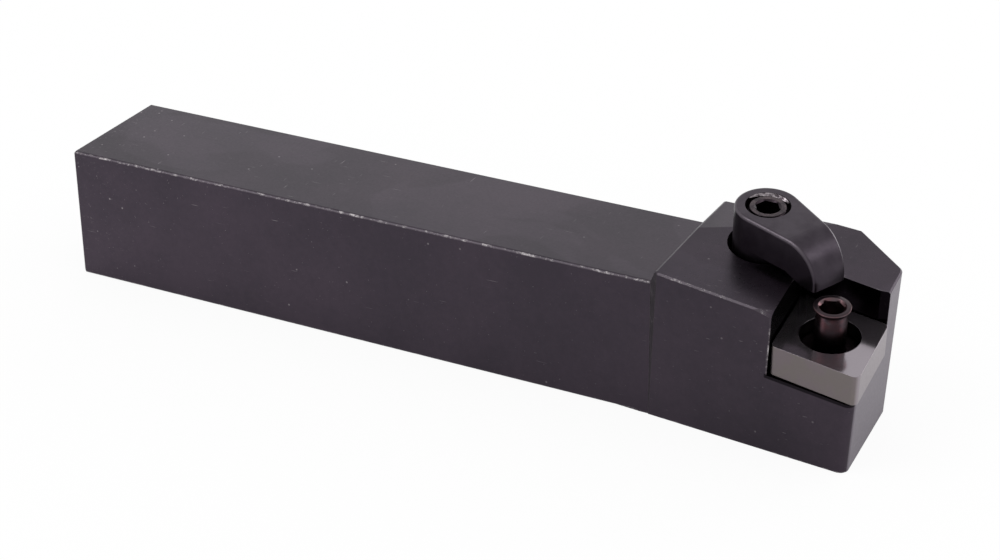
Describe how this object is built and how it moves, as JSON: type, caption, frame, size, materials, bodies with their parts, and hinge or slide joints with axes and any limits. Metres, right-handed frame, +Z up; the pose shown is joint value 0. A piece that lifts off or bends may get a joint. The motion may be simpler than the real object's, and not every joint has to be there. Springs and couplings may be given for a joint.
{
  "type": "turning tool holder",
  "caption": "Square-shank external turning tool holder with an open insert pocket, a shim, a lock pin and a finger clamp held by a socket screw.",
  "frame": {"origin": "rear end of the shank, at the middle of its width and on its underside", "axes": "+X along the shank towards the head, +Y away from the cutting side, +Z up from the shank's underside"},
  "size_m": [0.1245, 0.0242, 0.0298],
  "materials": {
    "body_steel": "black oxide, satin",
    "clamp_steel": "black oxide, satin, forged",
    "screw_steel": "black oxide, oiled",
    "pin_steel": "hardened, tempered brown",
    "carbide": "cemented carbide, ground"
  },
  "bodies": {
    "holder": {"holder_body": "body_steel", "shim": "carbide", "lock_pin": "pin_steel"},
    "screw": {"clamp_screw": "screw_steel"},
    "clamp": {"clamp": "clamp_steel"}
  },
  "joints": [
    {"name": "clamp_lift", "type": "slide", "parent": "holder", "child": "screw", "axis": [0.0692, -0.1216, 0.9902], "range_m": [0, 0.006]},
    {"name": "clamp_swing", "type": "hinge", "parent": "screw", "child": "clamp", "pos_m": [0.10515, 0.00132, 0.02329], "axis": [0.0692, -0.1216, 0.9902], "continuous": true}
  ]
}
